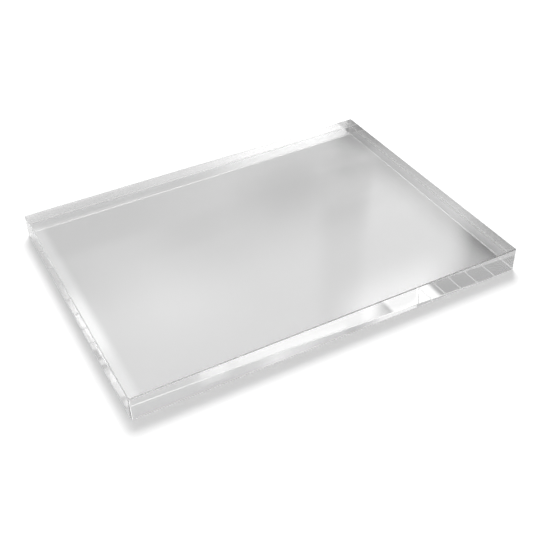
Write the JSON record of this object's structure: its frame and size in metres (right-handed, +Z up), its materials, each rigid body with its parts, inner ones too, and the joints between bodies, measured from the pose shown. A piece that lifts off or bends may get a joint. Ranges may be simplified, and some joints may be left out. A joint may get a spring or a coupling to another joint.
{
  "type": "clear acrylic sheet",
  "caption": "Thick flat rectangle of clear cast acrylic with polished edges, eased corners and fine arrises, laid flat.",
  "frame": {"origin": "middle of the underside, on the level surface the sheet lies on", "axes": "+X along the long edges, +Y along the short edges, +Z up through the thickness"},
  "size_m": [0.2032, 0.1524, 0.0127],
  "materials": {
    "clear_acrylic": "polished"
  },
  "bodies": {
    "root": {"acrylic_sheet": "clear_acrylic"}
  },
  "joints": []
}
